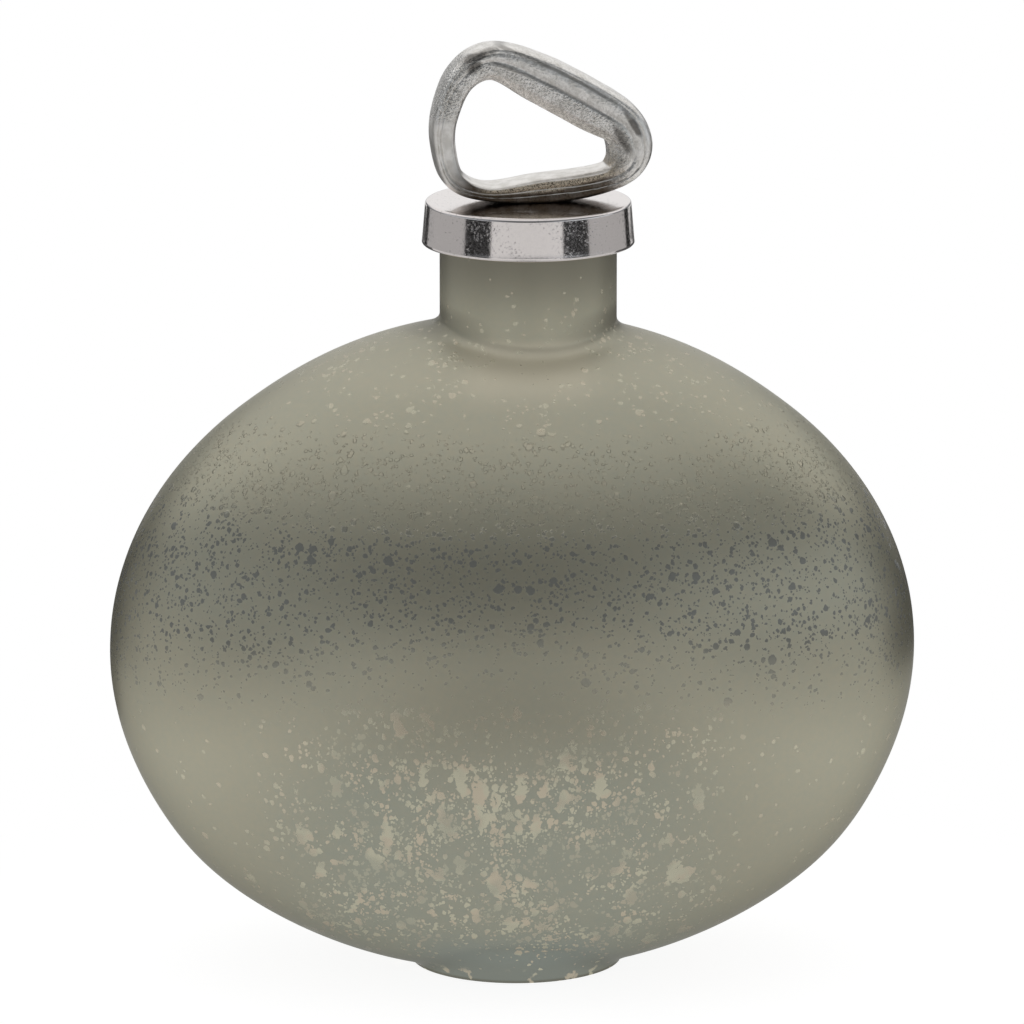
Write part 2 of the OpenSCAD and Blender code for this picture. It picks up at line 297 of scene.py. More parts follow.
def make_lid():
    profile = [(SKIRT_IN_R, PLATE_Z), (SKIRT_IN_R, SKIRT_Z + SKIRT_IN_ROUND)]
    profile += arc(SKIRT_IN_R + SKIRT_IN_ROUND, SKIRT_Z + SKIRT_IN_ROUND, SKIRT_IN_ROUND, 180, 270, 5)
    profile += arc(LID_R - SKIRT_ROUND, SKIRT_Z + SKIRT_ROUND, SKIRT_ROUND, 270, 355, 6)
    for t in np.linspace(0.1, 1, 8):
        side_z = SKIRT_Z + (LID_TOP - LID_ROUND - SKIRT_Z) * t
        profile.append((LID_R + (LID_TOP_R - LID_R) * t, side_z))
    profile += arc(LID_TOP_R - LID_ROUND, LID_TOP - LID_ROUND, LID_ROUND, 10, 90, 7)
    profile += [(r, LID_TOP) for r in np.linspace(LID_TOP_R - LID_ROUND - 1, SCREW_HOLE_R + 0.4, 12)]
    profile += arc(SCREW_HOLE_R + HOLE_ROUND, LID_TOP - HOLE_ROUND, HOLE_ROUND, 90, 180, 3)
    profile += [(SCREW_HOLE_R, PLATE_Z)]
    profile += [(r, PLATE_Z) for r in np.linspace(SCREW_HOLE_R + 2, SKIRT_IN_R - 1, 8)]
    return revolve("lid_casting", profile, NECK_X, LID_COLS, 35)


# -------- ring handle

# Size of the ring, and points along its wire: share of its width right of the lid's axis, share of
# its height above the lid, share of its thickest wire, and, as shares across its face from the outer
# edge, where a fine crease and a soft valley run and where the inner bevel starts
HANDLE_W, HANDLE_H, HANDLE_T, HANDLE_DEPTH = 60.0, 45.0, 15.6, 15.0
HANDLE = [
    (0.050, 0.080, 0.551, 0.40, 0.62, 0.97), (-0.220, 0.071, 0.346, 0.36, 0.58, 0.97),
    (-0.382, 0.162, 0.436, 0.25, 0.42, 0.86), (-0.437, 0.349, 0.462, 0.18, 0.31, 0.85),
    (-0.438, 0.589, 0.500, 0.18, 0.31, 0.86), (-0.350, 0.867, 0.590, 0.20, 0.40, 0.85),
    (-0.183, 0.971, 0.744, 0.15, 0.42, 0.80), (0.063, 0.836, 0.974, 0.13, 0.46, 0.80),
    (0.328, 0.640, 1.000, 0.13, 0.48, 0.80), (0.470, 0.524, 0.910, 0.18, 0.48, 0.80),
    (0.533, 0.382, 0.821, 0.24, 0.50, 0.80), (0.517, 0.249, 0.654, 0.27, 0.52, 0.82),
    (0.425, 0.158, 0.538, 0.32, 0.56, 0.90), (0.268, 0.107, 0.551, 0.38, 0.60, 0.97),
]
HANDLE_TURN = math.radians(9)
# How square the wire's section is: 1 is an oval, 0 a rectangle
SECTION_SQUARE = 0.5
# Where the hole's blunt right end starts, and how softly it is filled
HOLE_END, HOLE_SOFT = 23.3, 0.8
# Depths across the face: fine crease, soft valley, inner bevel, outer edge, between the bands
CREASE, VALLEY, BEVEL, OUTER_EDGE, BULGE = 0.32, 0.34, 1.70, 0.40, 0.11
# Widths of crease, valley and full bevel, as shares of the face
CREASE_WIDE, VALLEY_WIDE, BEVEL_WIDE = 0.022, 0.045, 0.15
# Share of the depth where the face starts, and over which it comes in
FACE_FROM, FACE_REACH = 0.45, 0.35
# Unevenness of creases, face and outline, and how far in the outline lies
CREASE_WAVE, FACE_WAVE, SIDE_WAVE, SIDE_IN = 0.012, 0.16, 0.010, 0.1
# Gap between handle and lid, which keeps their faces apart
LID_GAP = 0.03
# The pad that the ring stands on
PAD_R, PAD_H = 5.25, 3.6
# Mesh: rings for each point of the wire, points of a ring, and the half width that spaces them
RINGS_A_POINT, SECTION_POINTS, SECTION_HALF = 24, 168, 5.5


def handle_point(s):
    """Middle of the wire, its thickness and its creases, s points along the wire."""
    n = len(HANDLE)
    i, t = int(math.floor(s)) % n, s - math.floor(s)
    size = np.array((HANDLE_W, HANDLE_H, HANDLE_T, 1, 1, 1))
    a, b, c, d = (np.array(HANDLE[(i + k) % n], float) * size for k in (-1, 0, 1, 2))
    return b + 0.5 * t * ((c - a) + t * ((2 * a - 5 * b + 4 * c - d) + t * (3 * (b - c) + d - a)))


def wire_side(s):
    """Direction across the wire, towards the hole."""
    step = handle_point(s + 0.02) - handle_point(s - 0.02 + len(HANDLE))
    return np.array((step[1], -step[0])) / math.hypot(step[0], step[1])


def power(v):
    return math.copysign(abs(v) ** SECTION_SQUARE, v)


def section_angles(count):
    """Angles that step evenly round the squared-off oval of the wire's section."""
    fine = np.linspace(0, 2 * math.pi, 4001)
    x = np.array([power(math.cos(a)) for a in fine]) * SECTION_HALF
    y = np.array([power(math.sin(a)) for a in fine]) * HANDLE_DEPTH / 2
    run = np.concatenate(([0], np.cumsum(np.hypot(np.diff(x), np.diff(y)))))
    return np.interp(np.linspace(0, run[-1], count, endpoint=False), run, fine)


def face_depth(v, crease, valley, bevel):
    """Depth below the wire's face at a share v from its outer edge."""
    depth = CREASE * math.exp(-((v - crease) / CREASE_WIDE) ** 2)
    depth += VALLEY * math.exp(-((v - valley) / VALLEY_WIDE) ** 2)
    if v < crease:
        return depth + OUTER_EDGE * (1 - v / crease) ** 2
    if v > bevel:
        return depth + BULGE + BEVEL * (v - bevel) / (1 - bevel) * min(1.0, (1 - bevel) / BEVEL_WIDE)
    a, b = (crease, valley) if v < valley else (valley, bevel)
    return depth + BULGE * ((2 * v - a - b) / (b - a)) ** 2


def ripple(s, a, seed):
    """Slow unevenness of the casting, -1 to 1, at s along the wire and angle a round it."""
    turn = 2 * math.pi * s / len(HANDLE)
    wave = math.sin(5 * turn + 1.7 * seed + 2 * math.cos(a))
    wave += math.sin(11 * turn + 3.1 * seed - math.sin(a))
    wave += 0.7 * math.sin(23 * turn + 0.9 * seed + 3 * math.cos(a + 1))
    return wave / 2.7


def handle_ring(s, angles):
    """Points round the wire at s, as the ring stands before it is turned on the lid."""
    here, side = handle_point(s), wire_side(s)
    over = max(0.0, here[0] + side[0] * here[2] / 2 - HOLE_END)
    fill = HOLE_SOFT * over * over / (over + HOLE_SOFT)
    points = []
    for a in angles:
        u, w = power(math.cos(a)), power(math.sin(a))
        face = min(1.0, max(0.0, (abs(w) - FACE_FROM) / FACE_REACH))
        seed = 1 if w < 0 else 2
        creases = here[3:6] + CREASE_WAVE * ripple(s, 0.0, seed + 4)
        sink = face * face_depth((u + 1) / 2, *creases) + FACE_WAVE * (1 + ripple(s, a, seed)) / 2
        across = u * (here[2] / 2 - SIDE_IN) * (1 - SIDE_WAVE * (1 + ripple(s, a, 3)))
        x = here[0] + side[0] * across - fill * max(0.0, u) ** 2
        points.append((x, w * (HANDLE_DEPTH / 2 - sink), here[1] + side[1] * across))
    return points


def make_handle():
    rings = len(HANDLE) * RINGS_A_POINT
    angles = section_angles(SECTION_POINTS)
    c, d = math.cos(HANDLE_TURN), math.sin(HANDLE_TURN)
    verts = []
    for k in range(rings):
        for x, y, z in handle_ring(k / rings * len(HANDLE), angles):
            verts.append((NECK_X + c * x - d * y, d * x + c * y, LID_TOP + max(z, LID_GAP)))
    return make_object("handle_casting", verts, grid_faces(rings, len(angles), True), 60)


def make_pad():
    """The small pad that the ring stands on, round the screw."""
    low, high = LID_TOP + LID_GAP, LID_TOP + PAD_H
    profile = [(SCREW_HOLE_R, low), (PAD_R, low), (PAD_R, high), (SCREW_HOLE_R, high)]
    return revolve("handle_pad", profile, NECK_X, 64, 30)


# -------- node helpers

class Graph:
    """A node tree with short calls that add nodes and give back their output sockets."""

    def __init__(self, owner, output="ShaderNodeOutputMaterial"):
        owner.use_nodes = True
        self.tree = owner.node_tree
        self.tree.nodes.clear()
        self.out = self.tree.nodes.new(output)

    def set(self, socket, value):
        """Gives an input a number or colour, or links a socket to it."""
        if isinstance(value, bpy.types.NodeSocket):
            self.tree.links.new(value, socket)
        else:
            socket.default_value = value

    def add(self, kind, inputs=None, **settings):
        node = self.tree.nodes.new(kind)
        for key, value in settings.items():
            setattr(node, key, value)
        for key, value in (inputs or {}).items():
            self.set(node.inputs[key], value)
        return node

    def show(self, shader):
        """Makes a shader node the surface."""
        self.set(self.out.inputs[0], shader.outputs[0])

    def glow(self, level, colour=WHITE):
        return self.add("ShaderNodeEmission", {"Color": colour, "Strength": level})

    def place(self):
        """Object coordinates in millimetres."""
        coords = self.add("ShaderNodeTexCoord").outputs["Object"]
        return self.add("ShaderNodeMapping", {"Vector": coords, "Scale": [1 / MM] * 3}).outputs[0]

    def split(self, vector):
        return self.add("ShaderNodeSeparateXYZ", {0: vector}).outputs

    def vector(self, operation, *values):
        node = self.add("ShaderNodeVectorMath", dict(enumerate(values)), operation=operation)
        return node.outputs["Value" if operation == "LENGTH" else 0]

    def math(self, operation, a, b=0.0, c=0.0, clamp=False):
        node = self.add("ShaderNodeMath", {0: a, 1: b, 2: c}, operation=operation, use_clamp=clamp)
        return node.outputs[0]

    def chain(self, operation, first, *rest):
        for value in rest:
            first = self.math(operation, first, value)
        return first

    def times(self, *values):
        return self.chain("MULTIPLY", *values)

    def total(self, *values):
        return self.chain("ADD", *values)

    def largest(self, *values):
        return self.chain("MAXIMUM", *values)

    def size(self, value):
        return self.math("ABSOLUTE", value)

    def off(self, value, middle):
        """Distance of a value from a middle."""
        return self.size(self.math("ADD", value, -middle))

    def ramp(self, value, lo, hi, to_lo=0.0, to_hi=1.0, kind="SMOOTHSTEP"):
        """A soft step from to_lo to to_hi as the value goes from lo to hi."""
        return self.add("ShaderNodeMapRange", {
            "Value": value, "From Min": lo, "From Max": hi, "To Min": to_lo, "To Max": to_hi,
        }, interpolation_type=kind).outputs[0]

    def span(self, value, come, go):
        """A zone that comes in, and goes out, between two values each."""
        return self.times(self.ramp(value, *come), self.ramp(value, *go))

    def between(self, share, a, b):
        """A value evenly from a to b as a share goes from 0 to 1."""
        return self.ramp(share, 0, 1, a, b, "LINEAR")

    def mix(self, share, a, b):
        return self.add("ShaderNodeMix", {0: share, 2: a, 3: b}).outputs[0]

    def mix_colour(self, share, a, b):
        return self.add("ShaderNodeMix", {0: share, 6: a, 7: b}, data_type="RGBA").outputs[2]

    def noise(self, vector, scale, detail=2.0, rough=0.5, output="Fac"):
        return self.add("ShaderNodeTexNoise", {
            "Vector": vector, "Scale": scale, "Detail": detail, "Roughness": rough}).outputs[output]

    def shaken(self, vector, reach, scale, detail, rough=0.5):
        """Coordinates that a noise moves by up to reach."""
        shift = self.noise(vector, scale, detail, rough, "Color")
        return self.vector("MULTIPLY_ADD", shift, (reach, reach, reach), vector)

    def dots(self, vector, scale, small, large, density):
        """Round drops of random size, 1 in their middle and 0 outside, in a share of the cells."""
        cell = self.add("ShaderNodeTexVoronoi", {"Vector": vector, "Scale": scale}).outputs
        luck = self.add("ShaderNodeSeparateColor", {0: cell["Color"]}).outputs
        radius = self.between(self.times(luck[0], luck[0]), small, large)
        here = self.math("LESS_THAN", luck[1], density)
        return self.times(self.ramp(self.math("DIVIDE", cell["Distance"], radius), 1.0, 0.6), here)

    def bump(self, height, strength, distance, invert=False):
        return self.add("ShaderNodeBump", {
            "Strength": strength, "Distance": distance, "Height": height}, invert=invert).outputs[0]


def bare_material(name):
    """A material and its graph, with no shader yet."""
    mat = bpy.data.materials.new(name)
    return mat, Graph(mat)


def new_material(name):
    """A material, its graph and the inputs of its one shader."""
    mat, graph = bare_material(name)
    shader = graph.add("ShaderNodeBsdfPrincipled")
    graph.show(shader)
    return mat, graph, shader.inputs


def shaded(colour, factor):
    """A colour made darker or lighter."""
    return tuple(min(1, c * factor) for c in colour[:3]) + (1,)


# -------- material of the bottle

# Colours of the coat: its two main tones, painted light under the neck, cool round the foot, painted
# shade;
# and where drops leave the mirrored glass bare: two creams, and the belt's dark drops, a painted
# reflection
COAT_OLIVE, COAT_GREY = (0.435, 0.41, 0.312, 1), (0.375, 0.385, 0.315, 1)
COAT_PAINTED_LIGHT, COAT_FOOT, COAT_PAINTED_SHADE = (0.56, 0.52, 0.405, 1), (0.33, 0.37, 0.34, 1), (0.19, 0.18, 0.14, 1)
DROP_TAN, DROP_CREAM = (0.655, 0.58, 0.445, 1), (0.64, 0.615, 0.47, 1)
DROP_PAINTED_DARK = (0.158, 0.162, 0.148, 1)
# How much coat and drops mirror, low and high on the body, and how much less the belt's dark drops do,
# so that their painted reflection shows
COAT_METAL, DROP_METAL, PAINTED_DARK_METAL, METAL_RISE = (0.85, 0.4), (1.0, 0.55), 0.35, (135.0, 192.0)
COAT_TINT = (0.45, 0.45, 0.45, 1)
COAT_ROUGH, COAT_GRAIN, DROP_ROUGH = 0.325, 0.06, 0.17
# Bump of the drops: strength low and high on the body and where, added for clear drops, and height
RELIEF, RELIEF_RISE, CLEAR_RELIEF, DROP_HEIGHT = (0.07, 0.14), (140.0, 160.0), 0.80, 0.0006

# Noises: scale, detail and roughness; two shake coordinates, by a reach that comes first
NEAR_SHAKE, FAR_SHAKE = (1.6, 0.45, 3.0), (9.0, 0.22, 4.0, 0.65)
CLUMPS, CLUMP_STEP, CLUMP_LEAST = (0.055, 3.0, 0.6), (0.36, 0.64), 0.25
PATCHES, PATCH_STEP = (0.025, 2.0), (0.35, 0.65)
CLOUDS, CLOUD_SHARE, SPECKS, SPECK_SHARE, DRIFT_START = (0.03, 3.0), 0.5, (0.5, 3.0), 0.9, -0.45
THIN_SPOTS, CHIPS, GRAIN = (0.085, 2.0), (0.14, 3.0, 0.6), (2.4, 3.0)
CREAMS, CREAM_STEP = (0.16, 2.0), (0.42, 0.58)

# Zones of the coat: each comes in, and goes out, from a place where it is 0 to one where it is 1.
# Inward is measured from an upright plane; the belt dips towards the body's ends
INWARD_X, INWARD = -6.0, (82.0, 34.0)
LOW = (106.0, 76.0), (5.0, 24.0)
BELT_DIP, BELT_IN, BELT_OUT = 0.15, (98.0, 138.0), (184.0, 156.0)
# Where the bare drops are painted dark, a painted reflection of the dark surroundings in the belt
PAINTED_DARK_IN, PAINTED_DARK_OUT = (98.0, 112.0), (166.0, 150.0)
SHOULDER, SHOULDER_SIDES = ((168.0, 182.0), (214.0, 200.0)), 0.2
CLEAR = (146.0, 156.0), (182.0, 172.0)
RIGHT = (20.0, 80.0)
OFF_FRONT = (8.0, 30.0)

# Kinds of drop: cells in a millimetre, and the smallest and largest drop as shares of a cell
DUST, FINE, MIDDLING = (1.15, 0.25, 0.70), (0.62, 0.24, 0.70), (0.30, 0.18, 0.56)
BLOT, STREAK = (0.19, 0.14, 0.60), (0.24, 0.12, 0.60)
# Share of the cells with a drop, by kind: everywhere, in the belt, at the shoulder and low down
DUST_BELT, DUST_LOW = 0.30, 0.75
FINE_ALL, FINE_BELT, FINE_SHOULDER, FINE_LOW = 0.06, 0.68, 0.45, 0.80
MID_ALL, MID_BELT, MID_PATCH, MID_RIGHT, MID_SHOULDER, MID_LOW = 0.015, 0.07, 0.28, 0.20, 0.40, 0.72
BLOT_LOW, STREAK_LOW = 0.66, 0.65
# How far drops ran: factors on x, y and z, where less than 1 makes them longer
RUNS, BLOT_RUNS, STREAK_RUNS = (1.0, 0.4, 0.8), (1.0, 0.5, 0.55), (1.0, 0.4, 0.30)

# Drops are thin in patches and at the sides low down, under the belt, and clear above it
DROP_EDGE = (0.12, 0.40)
THIN, THIN_SIDES, THIN_IN, THIN_STEP = 0.60, 0.45, (112.0, 92.0), (0.62, 0.38)
HAZE, HAZE_IN, HAZE_OUT = 0.42, (84.0, 98.0), (132.0, 114.0)
CLEAR_FADE, HIGH_BARE, HIGH_IN = 0.6, 0.5, (150.0, 164.0)
# Chips along the foot's edge: height, how far in from the edge, noise and strength
CHIP_IN, CHIP_RING, CHIP_STEP, CHIP = (5.5, 2.5), (3.0, 1.5), (0.55, 0.60), 0.9

# Where the coat's tones lie: grey under the low drops, painted light under the neck, cool round the
# foot
GREY_IN, GREY_UNDER = (98.0, 66.0), 0.6
PAINTED_LIGHT_SPAN, PAINTED_LIGHT_FRONT, PAINTED_LIGHT_SIDES = ((182.0, 193.0), (203.5, 199.5)), 0.85, 0.15
COOL_IN, COOL_MIDDLE, COOL = (26.0, 7.0), (40.0, 14.0), 0.75
# Where shade is painted dark on the coat: the neck under the lid, low on the foot, a painted contact
# shadow at the foot's edge, beside the neck's bend, and a painted dark reflection at the body's ends
SHADE_UNDER_LID, SHADE_LOW_FOOT = (203.0, 226.0, 0.0, 0.85), (12.0, 4.0, 0.0, 0.25)
SHADE_FOOT_EDGE = (1.6, 0.5, 0.0, 0.75)
BEND, SHADE_BEND = ((199.0, 203.0), (213.0, 206.0)), 0.72
ENDS_X, ENDS, SHADE_ENDS = (110.0, 121.0), ((90.0, 108.0), (150.0, 132.0)), 0.36


def coat_zones(g, at):
    """Coordinates on the bottle, and how far a point is in each zone of its coat."""
    x, y, z = g.split(at)
    zone = SimpleNamespace(at=at, x=x, y=y, z=z)
    zone.inward = g.ramp(g.off(x, INWARD_X), *INWARD)
    zone.low = g.times(g.span(z, *LOW), zone.inward)
    zone.dip = g.math("MULTIPLY_ADD", g.size(x), BELT_DIP, z)
    zone.belt = g.times(g.ramp(zone.dip, *BELT_IN), g.ramp(z, *BELT_OUT))
    # Where the bare drops are painted dark: a painted reflection
    zone.dark = g.times(g.ramp(zone.dip, *PAINTED_DARK_IN), g.ramp(z, *PAINTED_DARK_OUT))
    zone.shoulder = g.times(g.span(z, *SHOULDER), g.ramp(zone.inward, 0, 1, SHOULDER_SIDES, 1.0))
    zone.clear = g.span(z, *CLEAR)
    zone.right = g.ramp(x, *RIGHT)
    zone.off_front = g.ramp(g.off(x, NECK_X), *OFF_FRONT)
    zone.clump = g.ramp(g.noise(at, *CLUMPS), *CLUMP_STEP)
    zone.patch = g.ramp(g.noise(at, *PATCHES), *PATCH_STEP)
    zone.some = g.between(zone.clump, CLUMP_LEAST, 1.0)
    return zone


def coat_drops(g, zone):
    """The bare drops of every kind, 1 in their middle; noise in their coordinates makes them uneven."""
    near = g.shaken(zone.at, *NEAR_SHAKE)
    far = g.shaken(zone.at, *FAR_SHAKE)
    runs = g.vector("MULTIPLY", near, RUNS)
    blots, streaks = (g.vector("MULTIPLY", far, way) for way in (BLOT_RUNS, STREAK_RUNS))
    low_some = g.times(zone.low, zone.some)
    fine_many = g.total(FINE_ALL, g.times(zone.belt, zone.some, FINE_BELT),
                        g.times(zone.shoulder, zone.clump, FINE_SHOULDER))
    mid_many = g.total(MID_ALL, g.times(zone.belt, MID_BELT),
                       g.times(zone.belt, zone.patch, MID_PATCH),
                       g.times(zone.belt, zone.right, MID_RIGHT),
                       g.times(zone.shoulder, zone.clump, MID_SHOULDER))
    return g.largest(
        g.dots(near, *FINE, fine_many),
        g.dots(runs, *FINE, g.times(low_some, FINE_LOW)),
        g.dots(near, *MIDDLING, mid_many),
        g.dots(runs, *MIDDLING, g.times(low_some, MID_LOW)),
        g.dots(near, *DUST, g.times(zone.belt, DUST_BELT)),
        g.dots(runs, *DUST, g.times(low_some, DUST_LOW)),
        g.dots(blots, *BLOT, g.times(low_some, BLOT_LOW)),
        g.dots(streaks, *STREAK, g.times(zone.low, zone.clump, STREAK_LOW)))


def coat_bare(g, zone, drop):
    """How bare the glass is: in the drops, weaker where they are thin, and in the foot's chips."""
    low_down = g.ramp(zone.z, *THIN_IN)
    thin = g.times(g.ramp(g.noise(zone.at, *THIN_SPOTS), *THIN_STEP, 0.0, THIN), low_down)
    sides = g.times(g.ramp(zone.inward, 1.0, 0.0, 0.0, THIN_SIDES), low_down)
    haze = g.times(g.ramp(zone.z, *HAZE_IN), g.ramp(zone.dip, *HAZE_OUT), HAZE)
    faded = g.largest(thin, sides, haze, g.times(zone.clear, CLEAR_FADE))
    drops = g.times(g.ramp(drop, *DROP_EDGE), g.ramp(zone.z, *HIGH_IN, 1.0, HIGH_BARE),
                    g.between(faded, 1.0, 0.0))
    foot_x = g.math("ADD", zone.x, -FOOT_X)
    foot_r = g.math("SQRT", g.total(g.times(foot_x, foot_x), g.times(zone.y, zone.y)))
    chips = g.times(g.ramp(zone.z, *CHIP_IN), g.ramp(foot_r, *(FOOT_R - r for r in CHIP_RING)),
                    g.ramp(g.noise(zone.at, *CHIPS), *CHIP_STEP), CHIP)
    return g.largest(drops, chips)


def coat_colour(g, zone):
    """The coat's colour, which drifts from olive to grey, with painted light under the neck and painted
    shade in places.
    """
    z = zone.z
    under = g.times(g.ramp(z, *GREY_IN), zone.inward)
    drift = g.total(g.times(g.noise(zone.at, *CLOUDS), CLOUD_SHARE),
                    g.times(g.noise(zone.at, *SPECKS), SPECK_SHARE), DRIFT_START)
    grey = g.math("MULTIPLY_ADD", under, GREY_UNDER, drift, clamp=True)
    colour = g.mix_colour(grey, COAT_OLIVE, COAT_GREY)
    # Painted light: the coat is made paler under the neck, most at the front
    pale = g.times(g.span(z, *PAINTED_LIGHT_SPAN), g.ramp(zone.off_front, 0, 1, PAINTED_LIGHT_FRONT, PAINTED_LIGHT_SIDES))
    colour = g.mix_colour(pale, colour, COAT_PAINTED_LIGHT)
    cool = g.times(g.ramp(z, *COOL_IN), g.ramp(g.off(zone.x, FOOT_X), *COOL_MIDDLE), COOL)
    colour = g.mix_colour(cool, colour, COAT_FOOT)
    # Painted shade: under the lid, low on the foot and at its edge, beside the neck's bend and at the
    # body's ends
    bend = g.times(g.span(z, *BEND), zone.off_front, SHADE_BEND)
    ends = g.times(g.ramp(g.size(zone.x), *ENDS_X), g.span(z, *ENDS), SHADE_ENDS)
    painted_shade = g.largest(g.ramp(z, *SHADE_UNDER_LID), g.ramp(z, *SHADE_LOW_FOOT), g.ramp(z, *SHADE_FOOT_EDGE), bend, ends)
    return g.mix_colour(painted_shade, colour, COAT_PAINTED_SHADE)


def glass_coat():
    """A satin coat on mirrored glass, with drops and runs in which it is missing."""
    mat, g, shader = new_material("satin_coat_on_mirrored_glass")
    zone = coat_zones(g, g.place())
    drop = coat_drops(g, zone)
    bare = coat_bare(g, zone, drop)
    cream = g.mix_colour(g.ramp(g.noise(zone.at, *CREAMS), *CREAM_STEP), DROP_TAN, DROP_CREAM)
    # In the belt the bare drops get a painted dark reflection
    spot = g.mix_colour(zone.dark, cream, DROP_PAINTED_DARK)
    g.set(shader["Base Color"], g.mix_colour(bare, coat_colour(g, zone), spot))
    high = g.ramp(zone.z, *METAL_RISE)
    drop_metal = g.times(g.between(high, *DROP_METAL), g.between(zone.dark, 1.0, PAINTED_DARK_METAL))
    g.set(shader["Metallic"], g.mix(bare, g.between(high, *COAT_METAL), drop_metal))
    grain = g.noise(zone.at, *GRAIN)
    coat_rough = g.math("MULTIPLY_ADD", grain, COAT_GRAIN, COAT_ROUGH)
    smoother = g.math("SUBTRACT", DROP_ROUGH, coat_rough)
    g.set(shader["Roughness"], g.math("MULTIPLY_ADD", bare, smoother, coat_rough))
    g.set(shader["Specular Tint"], COAT_TINT)
    relief = g.total(g.ramp(zone.z, *RELIEF_RISE, *RELIEF), g.times(zone.clear, CLEAR_RELIEF))
    height = g.math("MULTIPLY_ADD", grain, COAT_GRAIN, drop)
    g.set(shader["Normal"], g.bump(height, relief, DROP_HEIGHT))
    return mat


# -------- materials of the lid and the screw

# Where the pits' noise stains and sinks the metal, the patches that have pits, and their depth
PIT_STAIN, PIT_SINK, PIT_NOISE, PIT_DEPTH = (0.58, 0.72), (0.54, 0.70), (4.0, 0.6), 0.0003
PIT_PATCHES, PIT_PATCH_STEP = (0.11, 2.0), (0.36, 0.54)
PIT_SHADE, PIT_ROUGH = 0.55, 0.12


def cast_metal(name, colour, rough, pit, pit_scale):
    """Polished or plated metal with small dark pits in patches."""
    mat, g, shader = new_material(name)
    at = g.place()
    cloud = g.noise(at, pit_scale, *PIT_NOISE)
    patch = g.ramp(g.noise(at, *PIT_PATCHES), *PIT_PATCH_STEP)
    stained = g.times(g.ramp(cloud, *PIT_STAIN), patch)
    pits = g.times(g.ramp(cloud, *PIT_SINK), patch)
    g.set(shader["Base Color"], g.mix_colour(stained, colour, shaded(colour, PIT_SHADE)))
    g.set(shader["Metallic"], 1.0)
    g.set(shader["Roughness"], g.math("MULTIPLY_ADD", cloud, PIT_ROUGH, rough - PIT_ROUGH / 2))
    g.set(shader["Normal"], g.bump(pits, pit, PIT_DEPTH, invert=True))
    return mat


# -------- material of the ring

# Colours of the metal: clean, dull, dark spots and painted shade in grooves, painted shade in hollows
# and brown near the lid, and painted glints near the lid
RING_METAL, RING_DULL = (0.93, 0.905, 0.87, 1), (0.74, 0.715, 0.67, 1)
RING_SPOT_AND_SHADE, RING_HOLLOW_SHADE = (0.09, 0.08, 0.07, 1), (0.40, 0.38, 0.35, 1)
RING_BROWN_SHADE, RING_PAINTED_GLINT = (0.085, 0.058, 0.033, 1), (0.84, 0.72, 0.56, 1)
# Noises: scale, detail and roughness; the pebbles are two, the second at a share
RING_CLOUDS, RING_DULL_AT, GLINT_NOISE = (0.28, 4.0, 0.6), (0.35, 0.68), (2.4, 2.0, 0.7)
PEBBLES, SMALL_PEBBLES, SMALL_SHARE = (1.25, 1.0), (2.6, 1.0), 0.45
# Dark spots on the ring, seen from the front: middle, slope in degrees, half length and half width
DARK_SPOTS = [
    (-10.0, 287.3, 20.0, 7.5, 1.5), (-11.7, 283.8, 30.0, 3.0, 2.0),
    (37.3, 264.8, -58.0, 6.0, 1.4), (34.3, 259.6, -62.0, 6.5, 2.2),
]
# Strength of the dark spots and of the painted shade in the grooves, edge of a spot and its raggedness
SPOT_AND_SHADE_STRENGTH, GROOVE_SHADE, SPOT_EDGE, SPOT_CLOUD = 0.85, 0.65, (1.1, 0.1), 2.2
# The upper limb, seen from the front: a point on its middle, slope and bow; its grooves' heights
# over the middle, half widths outside and inside, and where they start and end
LIMB_AT, LIMB_SLOPE, LIMB_BOW = (8.8, 278.4), 0.48, 0.0045
GROOVES, GROOVE_WIDE, GROOVE_X = (0.6, 6.2), (0.8, 0.2), ((-9.0, -3.0), (35.0, 28.0))
# The lower limb's middle: height at the left, and its rise between two places to the right
LOW_LIMB_Z, LOW_LIMB_X, LOW_LIMB_RISE = 244.0, (8.0, 36.0), 5.0
# Where the skin is pebbled: right of the left limb or high up, less at the right and above the
# upper limb's middle; and the lower limb's upward-facing side, which is smoother and free of the
# painted shade
PEBBLE_X, PEBBLE_Z, PEBBLE_RIGHT = (-15.0, -7.0), (264.0, 271.0), (32.0, 40.0, 1.0, 0.35)
PEBBLE_CLOUD, PEBBLE_OVER = (0.30, 0.50, 0.75, 1.0), (0.5, -1.2, 0.45, 1.0)
UP_FACING, UP_FACING_Z, UP_FACING_PEBBLES = (0.45, 0.75), (262.0, 254.0), 0.1
# Where painted shade darkens the metal brown near the lid, how strongly, and how much rougher it is
# there
BROWN_Z, BROWN_RIGHT, BROWN_LEFT = (257.0, 250.5), (38.0, 27.0), (-20.0, -11.0, 0.2, 1.0)
BROWN_CLOUD, BROWN_SHADE_STRENGTH, BROWN_ROUGH = (0.3, 0.6, 0.9, 1.0), 0.97, 0.18
# Painted glints on the upper half of the lower limb: noise, height over its middle, and from where
GLINT_STEP, GLINT_OVER, GLINT_X = (0.36, 0.54), (-0.2, 0.9, 0.05, 0.95), (-12.0, -5.0)
# Painted shade in the hollows between pebbles, height of the bump; roughness and bump of smooth and of
# pebbled skin
HOLLOW_SHADE_AT, PEBBLE_HEIGHT = (0.75, 0.62, 0.0, 0.55), 0.0004
RING_ROUGH, RING_BUMP = (0.36, 0.22), (0.05, 0.90)


